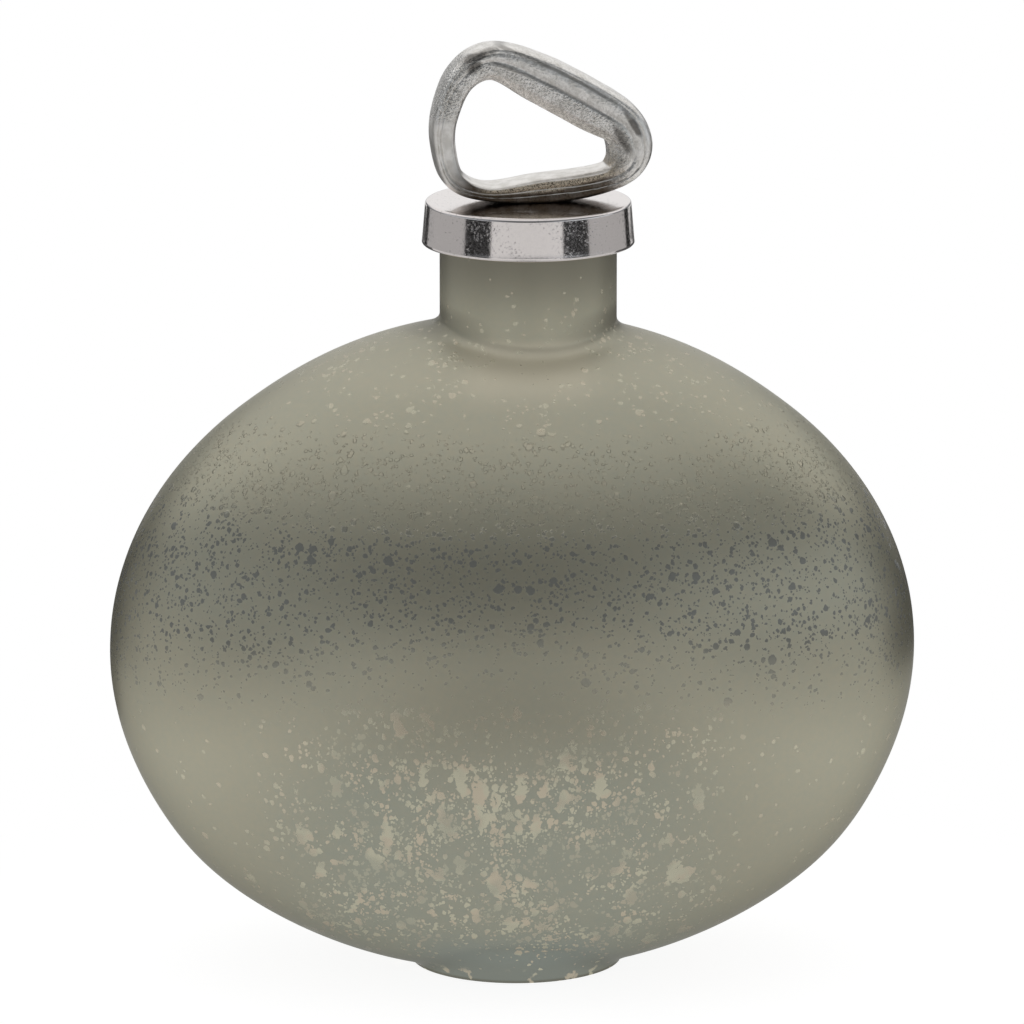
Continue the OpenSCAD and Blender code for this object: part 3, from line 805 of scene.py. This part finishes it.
def ring_zones(g):
    """Coordinates on the ring, its noises, and how far a point is in each zone of its skin."""
    at = g.place()
    x, _, z = g.split(at)
    zone = SimpleNamespace(at=at, x=x, z=z)
    zone.cloud = g.noise(at, *RING_CLOUDS)
    zone.pebbles = g.total(g.noise(at, *PEBBLES),
                           g.times(g.noise(at, *SMALL_PEBBLES), SMALL_SHARE))
    along = g.math("ADD", x, -LIMB_AT[0])
    zone.over = g.total(z, -LIMB_AT[1], g.times(along, LIMB_SLOPE), g.times(along, along, LIMB_BOW))
    up = g.split(g.add("ShaderNodeNewGeometry").outputs["True Normal"])[2]
    zone.rubbed = g.times(g.ramp(up, *UP_FACING), g.ramp(z, *UP_FACING_Z))
    zone.skin = g.times(g.largest(g.ramp(x, *PEBBLE_X), g.ramp(z, *PEBBLE_Z)),
                        g.ramp(x, *PEBBLE_RIGHT), g.ramp(zone.cloud, *PEBBLE_CLOUD),
                        g.ramp(zone.over, *PEBBLE_OVER), g.between(zone.rubbed, 1.0, UP_FACING_PEBBLES))
    # Painted shade: the metal near the lid is darkened brown, but not on its upward-facing side
    zone.brown = g.times(g.ramp(z, *BROWN_Z), g.ramp(x, *BROWN_RIGHT), g.ramp(x, *BROWN_LEFT),
                         g.ramp(zone.cloud, *BROWN_CLOUD), g.between(zone.rubbed, 1.0, 0.0))
    return zone


def dark_spot(g, zone, cx, cz, slope, long, wide):
    """One ragged oval dark spot."""
    c, d = math.cos(math.radians(slope)), math.sin(math.radians(slope))
    dx, dz = g.math("ADD", zone.x, -cx), g.math("ADD", zone.z, -cz)
    u = g.total(g.times(dx, c / long), g.times(dz, d / long))
    v = g.total(g.times(dx, -d / wide), g.times(dz, c / wide))
    ragged = g.times(zone.cloud, SPOT_CLOUD)
    reach = g.total(g.times(u, u), g.times(v, v), ragged, -SPOT_CLOUD / 2)
    return g.ramp(reach, *SPOT_EDGE)


def ring_spots_and_groove_shade(g, zone):
    """The dark spots, and painted shade in the two grooves of the upper limb."""
    # Painted shade in the two grooves of the upper limb
    grooves = [g.ramp(g.off(zone.over, place), *GROOVE_WIDE) for place in GROOVES]
    groove = g.times(g.largest(*grooves), g.span(zone.x, *GROOVE_X))
    spots = [dark_spot(g, zone, *spot_shape) for spot_shape in DARK_SPOTS]
    return g.times(g.largest(*spots, g.times(groove, GROOVE_SHADE)), SPOT_AND_SHADE_STRENGTH)


def ring_painted_glints(g, zone):
    """Painted glints on the lower limb, which rises to the right."""
    over = g.total(zone.z, -LOW_LIMB_Z, g.ramp(zone.x, *LOW_LIMB_X, 0.0, -LOW_LIMB_RISE))
    return g.times(zone.brown, g.ramp(g.noise(zone.at, *GLINT_NOISE), *GLINT_STEP),
                   g.ramp(over, *GLINT_OVER), g.ramp(zone.x, *GLINT_X))


def ring_casting():
    """Pewter with a pebbled skin, smoother facing up on the lower limb, painted brown shade and glints
    near the lid.
    """
    mat, g, shader = new_material("hammered_casting")
    zone = ring_zones(g)
    hollow_shade = g.times(zone.skin, g.ramp(zone.pebbles, *HOLLOW_SHADE_AT))
    metal = g.mix_colour(g.ramp(zone.cloud, *RING_DULL_AT), RING_METAL, RING_DULL)
    # Dark spots, and painted shade in the grooves
    metal = g.mix_colour(ring_spots_and_groove_shade(g, zone), metal, RING_SPOT_AND_SHADE)
    # Painted shade in the hollows between pebbles
    metal = g.mix_colour(hollow_shade, metal, RING_HOLLOW_SHADE)
    # Painted shade in brown near the lid
    metal = g.mix_colour(g.times(zone.brown, BROWN_SHADE_STRENGTH), metal, RING_BROWN_SHADE)
    # Painted glints on the lower limb
    metal = g.mix_colour(ring_painted_glints(g, zone), metal, RING_PAINTED_GLINT)
    g.set(shader["Base Color"], metal)
    g.set(shader["Metallic"], 1.0)
    rough = g.between(zone.skin, *RING_ROUGH)
    g.set(shader["Roughness"], g.math("MULTIPLY_ADD", zone.brown, BROWN_ROUGH, rough))
    g.set(shader["Normal"], g.bump(zone.pebbles, g.between(zone.skin, *RING_BUMP), PEBBLE_HEIGHT))
    return mat


# -------- materials of the plug and the seals

# What the grain does: lighter colour, more roughness, bump and its height
PLASTIC_PALE, PLASTIC_ROUGH, PLASTIC_BUMP, PLASTIC_HEIGHT = 1.06, 0.15, 0.15, 0.0001


def soft_plastic(name, colour, rough, grain_scale):
    """Moulded plastic or silicone with a fine grain."""
    mat, g, shader = new_material(name)
    grain = g.noise(g.place(), grain_scale, 3.0)
    g.set(shader["Base Color"], g.mix_colour(grain, colour, shaded(colour, PLASTIC_PALE)))
    g.set(shader["Roughness"], g.math("MULTIPLY_ADD", grain, PLASTIC_ROUGH, rough))
    g.set(shader["Normal"], g.bump(grain, PLASTIC_BUMP, PLASTIC_HEIGHT))
    return mat


# -------- pieces on their bodies

def dress(obj, mat):
    obj.data.materials.clear()
    obj.data.materials.append(mat)


def piece(obj, mat, body, node):
    """Gives a new piece its material, and puts it on a body in place of a CAD node."""
    dress(obj, mat)
    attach(obj, body)
    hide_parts(node)


coat = glass_coat()
lid_metal = cast_metal("polished_casting", (0.83, 0.78, 0.76, 1), 0.11, 0.055, 1.2)
ring_metal = ring_casting()
steel = cast_metal("zinc_steel", (0.62, 0.62, 0.64, 1), 0.32, 0.08, 3.0)
plastic = soft_plastic("moulded_plug", (0.80, 0.78, 0.73, 1), 0.42, 2.0)
silicone = soft_plastic("silicone", (0.66, 0.66, 0.62, 1), 0.5, 3.0)

piece(make_bottle(), coat, "bottle", "bottle")
piece(make_lid(), lid_metal, "lid", "lid_cap")
piece(make_handle(), ring_metal, "lid", "ring_handle")
piece(make_pad(), ring_metal, "lid", "ring_handle")
for node, mat in (("rim_gasket", silicone), ("neck_plug", plastic), ("upper_seal_ring", silicone),
                  ("lower_seal_ring", silicone), ("handle_screw", steel), ("screw_washer", steel)):
    dress(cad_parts[node], mat)


# -------- floor and mirrored studio

# The floor: half its size, height, colour and glow; and where it turns white for the camera, so that
# it keeps the shadow near the object
FLOOR_HALF, FLOOR_Z, FLOOR_COLOUR, FLOOR_GLOW = 6000.0, -0.05, (0.80, 0.80, 0.80, 1), 0.62
FLOOR_FADE, FLOOR_WHITE = (40.0, 220.0), 0.72
# The dome: radius, so large that what is mirrored depends on direction alone, and mesh
DOME_R, DOME_ROWS, DOME_COLS, DOME_TOP = 5200.0, 16, 64, 89.9
DOME_TINT = (0.94, 1.0, 1.06, 1)
# Azimuths in degrees where the dome turns from front to back, and right behind the lid
BESIDE_RIGHT, BEHIND_RIGHT = (80.0, 112.0), (96.0, 130.0)
BEHIND_LEFT, BEHIND_LID = (62.0, 128.0), (158.0, 170.0)
# Elevations where the dark band starts to clear and where it is clear: at the front, change behind
# (or beside), and change behind the lid
BAND_FROM, BAND_TO = (30.0, -24.0, -14.0), (78.0, -54.0, -16.0)
# The band is higher where the object's edges mirror it: azimuths, and change in elevation
EDGE, EDGE_LEFT, EDGE_RIGHT = (117.0, 135.0), 2.5, 1.5
# Light in the band and its glow near the horizon, and the light above, in front and added behind
BAND_DARK, BAND_GLOW, GLOW_RISE = 0.075, 0.09, (22.0, 0.0)
ROOF_FRONT, ROOF_BEHIND = 0.72, 0.16
# Light at the sides: azimuths where it comes and goes; elevations, and light high up and low
SIDE_RIGHT, RIGHT_RISE = ((4.0, 58.0), (116.0, 100.0)), (32.0, 17.0, 0.0, 0.53)
SIDE_LEFT, LEFT_RISE = ((8.0, 70.0), (118.0, 100.0)), (34.0, 10.0, 0.175, 0.35)
# Strips that the lid mirrors: where they start on the floor, and how high they reach on the dome
STRIP_FULL, STRIP_SHORT, STRIP_GAP = (1500.0, 350.0), (2000.0, 280.0), 20.0
STRIP_LIGHT = {"bright": 0.68, "side": 0.41, "black": 0.01}
STRIPS = [
    (-41, 38, "bright", STRIP_FULL), (38, 69, "black", STRIP_SHORT),
    (69, 132, "side", STRIP_FULL), (132, 145, "black", STRIP_FULL),
    (145, 207, "bright", STRIP_FULL), (207, 219, "black", STRIP_FULL),
    (219, 287, "side", STRIP_FULL), (287, 319, "black", STRIP_SHORT),
]
# Dim floor behind the object: azimuths and where it starts; and its light
BACK_FLOORS, BACK_LIGHT = [(108, 168, 450.0), (190, 234, 300.0)], 0.08
# Heights of the cards on the floor: mat, dim floor, and strips at their start and end
MAT_Z, BACK_Z, STRIP_Z = 0.2, 0.5, (0.6, 0.4)
# Light of the mat that the object mirrors, by distance
MAT_LEVELS = [
    (33.0, 0.62), (130.0, 0.62), (400.0, 0.31), (1080.0, 0.31), (1260.0, 0.68), (5200.0, 0.64),
]
MAT_COLS = 96
# The mat is brighter to the left and right: light, where, and how far out in two steps
MAT_SIDE, MAT_SIDE_X = 0.36, (80.0, 250.0)
MAT_SIDE_NEAR, MAT_SIDE_FAR = (700.0, 450.0, 0.0, 0.4), (1500.0, 1150.0, 0.0, 0.6)


def stage_object(name, verts, faces, mat):
    obj = make_object(name, verts, faces)
    dress(obj, mat)
    return obj


def mirrored_object(name, verts, faces, mat):
    """A part of the studio that shows in reflections alone."""
    obj = stage_object(name, verts, faces, mat)
    obj.visible_camera = obj.visible_shadow = obj.visible_diffuse = False


def card_material(name, level):
    mat, g = bare_material(name)
    g.show(g.glow(level))
    return mat


def wall(name, low, high, a0, a1, mat, cx=0.0):
    """A bent card from a low to a high (radius, height), azimuths a0 to a1; 0 is to the camera."""
    steps = max(2, int(abs(a1 - a0) / 3))
    verts = []
    for a in np.radians(np.linspace(a0, a1, steps)):
        verts += [(cx + r * math.sin(a), -r * math.cos(a), z) for r, z in (low, high)]
    faces = [(2 * i, 2 * i + 1, 2 * i + 3, 2 * i + 2) for i in range(steps - 1)]
    mirrored_object(name, verts, faces, mat)


def floor_material():
    """A pale floor that keeps the object's shadow near it and is white to the camera further out."""
    mat, g = bare_material("floor_white")
    diffuse = g.add("ShaderNodeBsdfDiffuse", {"Color": FLOOR_COLOUR})
    table = g.add("ShaderNodeAddShader", {0: diffuse.outputs[0], 1: g.glow(FLOOR_GLOW).outputs[0]})
    path = g.add("ShaderNodeLightPath").outputs
    seen = g.largest(path["Is Camera Ray"], path["Is Transmission Ray"])
    white = g.times(g.ramp(g.vector("LENGTH", g.place()), *FLOOR_FADE, FLOOR_WHITE, 1.0), seen)
    g.show(g.add("ShaderNodeMixShader", {0: white, 1: table.outputs[0], 2: g.glow(1.0).outputs[0]}))
    return mat


def make_floor():
    half, z = FLOOR_HALF, FLOOR_Z
    corners = [(-half, -half, z), (half, -half, z), (half, half, z), (-half, half, z)]
    stage_object("floor", corners, [(0, 1, 2, 3)], floor_material())


def dome_material():
    """The studio as the object mirrors it: light above and low at the sides, with a dark band between
    them that is high towards the camera and sinks to the horizon behind the object."""
    mat, g = bare_material("studio_dome")
    x, y, z = g.split(g.place())
    ground = g.math("SQRT", g.total(g.times(x, x), g.times(y, y)))
    rise = g.times(g.math("ARCTAN2", z, ground), math.degrees(1))
    turn = g.times(g.math("ARCTAN2", x, g.times(y, -1.0)), math.degrees(1))
    left = g.times(turn, -1.0)
    beside = g.largest(g.ramp(turn, *BESIDE_RIGHT), g.ramp(left, *BEHIND_LEFT))
    behind = g.largest(g.ramp(turn, *BEHIND_RIGHT), g.ramp(left, *BEHIND_LEFT))
    lid = g.ramp(g.size(turn), *BEHIND_LID)
    edge = g.total(g.ramp(left, *EDGE, 0.0, EDGE_LEFT), g.ramp(turn, *EDGE, 0.0, EDGE_RIGHT))
    low = g.total(BAND_FROM[0], edge, g.times(behind, BAND_FROM[1]), g.times(lid, BAND_FROM[2]))
    high = g.total(BAND_TO[0], edge, g.times(beside, BAND_TO[1]), g.times(lid, BAND_TO[2]))
    share = g.math("DIVIDE", g.math("SUBTRACT", rise, low), g.math("SUBTRACT", high, low))
    above = g.ramp(share, 0.0, 1.0)
    band = g.total(BAND_DARK, g.ramp(rise, *GLOW_RISE, 0.0, BAND_GLOW),
                   g.times(g.span(turn, *SIDE_RIGHT), g.ramp(rise, *RIGHT_RISE)),
                   g.times(g.span(left, *SIDE_LEFT), g.ramp(rise, *LEFT_RISE)))
    roof = g.total(ROOF_FRONT, g.times(behind, ROOF_BEHIND))
    g.show(g.glow(g.mix(above, band, roof), g.mix_colour(above, DOME_TINT, WHITE)))
    return mat


def make_dome():
    verts = []
    for e in np.radians(np.linspace(0, DOME_TOP, DOME_ROWS)):
        r, z = DOME_R * math.cos(e), DOME_R * math.sin(e)
        verts += [(r * math.cos(t), r * math.sin(t), z) for t in full_turn(DOME_COLS)]
    mirrored_object("dome", verts, grid_faces(DOME_ROWS, DOME_COLS), dome_material())


def make_back_floors():
    dim = card_material("dim_floor", BACK_LIGHT)
    for k, (a0, a1, start) in enumerate(BACK_FLOORS):
        wall("back_floor_%d" % k, (start, BACK_Z), (STRIP_FULL[0], BACK_Z), a0, a1, dim)


def mat_material():
    """Light by distance from the object, with more of it to the left and right."""
    mat, g = bare_material("mirrored_floor")
    at = g.place()
    away = g.vector("LENGTH", at)
    level = MAT_LEVELS[0][1]
    for (r0, v0), (r1, v1) in zip(MAT_LEVELS, MAT_LEVELS[1:]):
        if v0 != v1:
            level = g.total(level, g.ramp(away, r0, r1, 0.0, v1 - v0))
    near = g.total(g.ramp(away, *MAT_SIDE_NEAR), g.ramp(away, *MAT_SIDE_FAR))
    beside = g.times(g.ramp(g.size(g.split(at)[0]), *MAT_SIDE_X), near)
    g.show(g.glow(g.math("MULTIPLY_ADD", beside, MAT_SIDE, level)))
    return mat


def make_mat():
    """A ring of light on the floor that only the object mirrors."""
    turn = full_turn(MAT_COLS)
    verts = [(FOOT_X + r * math.cos(t), r * math.sin(t), MAT_Z) for r, _ in MAT_LEVELS for t in turn]
    mirrored_object("floor_mat", verts, grid_faces(len(MAT_LEVELS), MAT_COLS), mat_material())


def make_strips():
    mats = {name: card_material("strip_" + name, level) for name, level in STRIP_LIGHT.items()}
    end = DOME_R - STRIP_GAP
    for k, (a0, a1, light, (start, top)) in enumerate(STRIPS):
        wall("strip_%d" % k, (end, 0), (end, top), a0, a1, mats[light], NECK_X)
        wall("floor_strip_%d" % k, (start, STRIP_Z[0]), (end, STRIP_Z[1]), a0, a1, mats[light], NECK_X)


# -------- light and camera

# Light of the world on the object, and for what the camera sees and the object mirrors
WORLD_LIGHT, WORLD_WHITE = 0.5, 1.0
# The lamp overhead, in metres and watts
LAMP_SIZE, LAMP_AT, LAMP_POWER = (1.8, 1.4), (0, 0.1, 1.5), 8.0
# The camera, in metres and radians; its lens and sensor in millimetres
CAMERA_AT, CAMERA_DOWN, CAMERA_REACH = (0, -2.776, 0.7806), 0.226, 100
CAMERA_LENS, CAMERA_SENSOR = 323.2, 36.0


def make_world():
    world = bpy.data.worlds.new("studio")
    bpy.context.scene.world = world
    g = Graph(world, "ShaderNodeOutputWorld")
    path = g.add("ShaderNodeLightPath").outputs
    seen = g.largest(path["Is Camera Ray"], path["Is Glossy Ray"], path["Is Transmission Ray"])
    strength = g.between(seen, WORLD_LIGHT, WORLD_WHITE)
    g.show(g.add("ShaderNodeBackground", {"Color": WHITE, "Strength": strength}))


def make_lamp():
    lamp = bpy.data.lights.new("overhead", "AREA")
    lamp.shape, lamp.energy = "RECTANGLE", LAMP_POWER
    lamp.size, lamp.size_y = LAMP_SIZE
    obj = bpy.data.objects.new("overhead", lamp)
    obj.location = LAMP_AT
    obj.visible_glossy = False
    bpy.context.scene.collection.objects.link(obj)


def make_camera():
    data = bpy.data.cameras.new("camera")
    data.sensor_fit, data.sensor_width, data.lens = "HORIZONTAL", CAMERA_SENSOR, CAMERA_LENS
    data.clip_end = CAMERA_REACH
    cam = bpy.data.objects.new("camera", data)
    cam.location = CAMERA_AT
    cam.rotation_euler = (math.pi / 2 - CAMERA_DOWN, 0, 0)
    bpy.context.scene.collection.objects.link(cam)
    bpy.context.scene.camera = cam


make_floor()
make_dome()
make_back_floors()
make_mat()
make_strips()
make_world()
make_lamp()
make_camera()
bpy.context.scene.view_settings.view_transform = "Standard"
